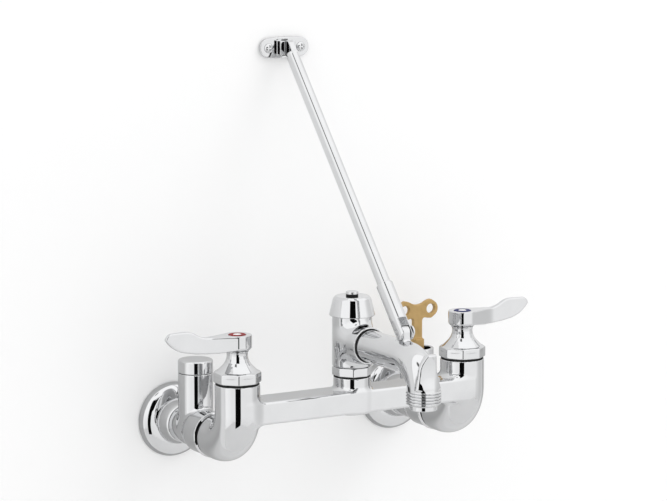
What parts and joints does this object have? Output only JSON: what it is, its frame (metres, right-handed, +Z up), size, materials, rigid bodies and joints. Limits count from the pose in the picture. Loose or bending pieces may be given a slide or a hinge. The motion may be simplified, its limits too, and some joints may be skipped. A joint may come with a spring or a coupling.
{
  "type": "service sink faucet",
  "caption": "Wall-mounted mixing faucet for a service sink: lever handles, loose-key stops, vacuum breaker, hose-thread spout with pail stop and a pivoted wall brace.",
  "frame": {"origin": "on the wall plane, midway between the axes of the two inlets", "axes": "+X right along the wall, seen from the room; +Y into the wall; +Z up"},
  "size_m": [0.3266, 0.2474, 0.3285],
  "materials": {
    "chrome_plate": "polished chrome plate",
    "chrome_steel": "polished chrome on steel",
    "raw_brass": "plain cast brass, satin",
    "inner_brass": "machined brass",
    "stainless": "bright machined",
    "black_rubber": "moulded",
    "ceramic_white": "lapped ceramic",
    "white_plastic": "gloss",
    "red_plastic": "gloss",
    "blue_plastic": "gloss",
    "grey_plastic": "moulded"
  },
  "bodies": {
    "faucet_body": {"hot_wall_flange": "chrome_plate", "hot_inlet_tailpiece": "inner_brass", "hot_coupling_nut": "chrome_plate", "hot_stop_body": "chrome_plate", "hot_stop_gland": "inner_brass", "hot_cartridge_body": "inner_brass", "hot_bonnet": "chrome_plate", "cold_wall_flange": "chrome_plate", "cold_inlet_tailpiece": "inner_brass", "cold_coupling_nut": "chrome_plate", "cold_stop_body": "chrome_plate", "cold_stop_gland": "inner_brass", "cold_cartridge_body": "inner_brass", "cold_bonnet": "chrome_plate", "union_washers": "black_rubber", "stem_seals": "black_rubber", "joint_gaskets": "black_rubber", "cartridge_seals": "black_rubber", "fixed_discs": "ceramic_white", "mixing_body": "chrome_plate", "breaker_nut": "chrome_plate", "breaker_washer": "black_rubber", "vacuum_breaker_body": "chrome_plate", "vent_bonnet": "inner_brass", "vent_hood": "chrome_plate", "hood_screw": "chrome_steel", "spout": "chrome_plate", "spout_seal": "black_rubber"},
    "hot_handle": {"hot_lever": "chrome_plate", "hot_handle_screw": "stainless", "hot_index_plug": "white_plastic", "hot_index_ring": "red_plastic", "hot_spindle": "inner_brass", "hot_moving_disc": "ceramic_white"},
    "cold_handle": {"cold_lever": "chrome_plate", "cold_handle_screw": "stainless", "cold_index_plug": "white_plastic", "cold_index_ring": "blue_plastic", "cold_spindle": "inner_brass", "cold_moving_disc": "ceramic_white"},
    "hot_stop_lift": {"hot_stop_washer": "black_rubber"},
    "hot_stop_spindle": {"hot_stop_stem": "inner_brass"},
    "cold_stop_lift": {"cold_stop_washer": "black_rubber"},
    "cold_stop_spindle": {"cold_stop_stem": "inner_brass"},
    "stop_cap": {"hot_stop_cap": "chrome_plate"},
    "key": {"loose_key": "raw_brass"},
    "poppet_float": {"poppet": "grey_plastic", "poppet_seal": "black_rubber"},
    "brace_lower": {"brace_fork": "chrome_steel", "fork_pin": "chrome_steel"},
    "brace_upper": {"brace_rod": "chrome_steel"},
    "bracket": {"wall_bracket": "chrome_steel", "bracket_pin": "chrome_steel", "bracket_screws": "chrome_steel"}
  },
  "joints": [
    {"name": "hot_handle_turn", "type": "hinge", "parent": "faucet_body", "child": "hot_handle", "pos_m": [-0.1016, -0.108, 0.08], "axis": [0, 0, 1], "range_deg": [0, 90]},
    {"name": "cold_handle_turn", "type": "hinge", "parent": "faucet_body", "child": "cold_handle", "pos_m": [0.1016, -0.108, 0.08], "axis": [0, 0, 1], "range_deg": [-90, 0]},
    {"name": "hot_stop_lift", "type": "slide", "parent": "faucet_body", "child": "hot_stop_lift", "axis": [0, 0, 1], "range_m": [-0.004, 0]},
    {"name": "hot_stop_turn", "type": "hinge", "parent": "hot_stop_lift", "child": "hot_stop_spindle", "pos_m": [-0.1016, -0.04, 0.03], "axis": [0, 0, 1], "range_deg": [-720, 0]},
    {"name": "cold_stop_lift", "type": "slide", "parent": "faucet_body", "child": "cold_stop_lift", "axis": [0, 0, 1], "range_m": [-0.004, 0]},
    {"name": "cold_stop_turn", "type": "hinge", "parent": "cold_stop_lift", "child": "cold_stop_spindle", "pos_m": [0.1016, -0.04, 0.03], "axis": [0, 0, 1], "range_deg": [-720, 0]},
    {"name": "stop_cap_lift", "type": "slide", "parent": "faucet_body", "child": "stop_cap", "axis": [0, 0, 1], "range_m": [0, 0.025]},
    {"name": "key_lift", "type": "slide", "parent": "cold_stop_spindle", "child": "key", "axis": [0, 0, 1], "range_m": [0, 0.06]},
    {"name": "poppet_lift", "type": "slide", "parent": "faucet_body", "child": "poppet_float", "axis": [0, 0, 1], "range_m": [0, 0.0085]},
    {"name": "brace_pivot", "type": "hinge", "parent": "faucet_body", "child": "brace_lower", "pos_m": [0, -0.1841, 0.0898], "axis": [1, 0, 0], "range_deg": [0, 120]},
    {"name": "brace_length", "type": "slide", "parent": "brace_lower", "child": "brace_upper", "axis": [0, 0.6536, 0.7569], "range_m": [0, 0.02]},
    {"name": "bracket_pivot", "type": "hinge", "parent": "brace_upper", "child": "bracket", "pos_m": [0, -0.00535, 0.29037], "axis": [1, 0, 0], "range_deg": [-35, 40]}
  ],
  "couplings": [
    {"joint": "hot_stop_lift", "follows": "hot_stop_turn", "m_per_rad": 0.00031831},
    {"joint": "cold_stop_lift", "follows": "cold_stop_turn", "m_per_rad": 0.00031831}
  ]
}
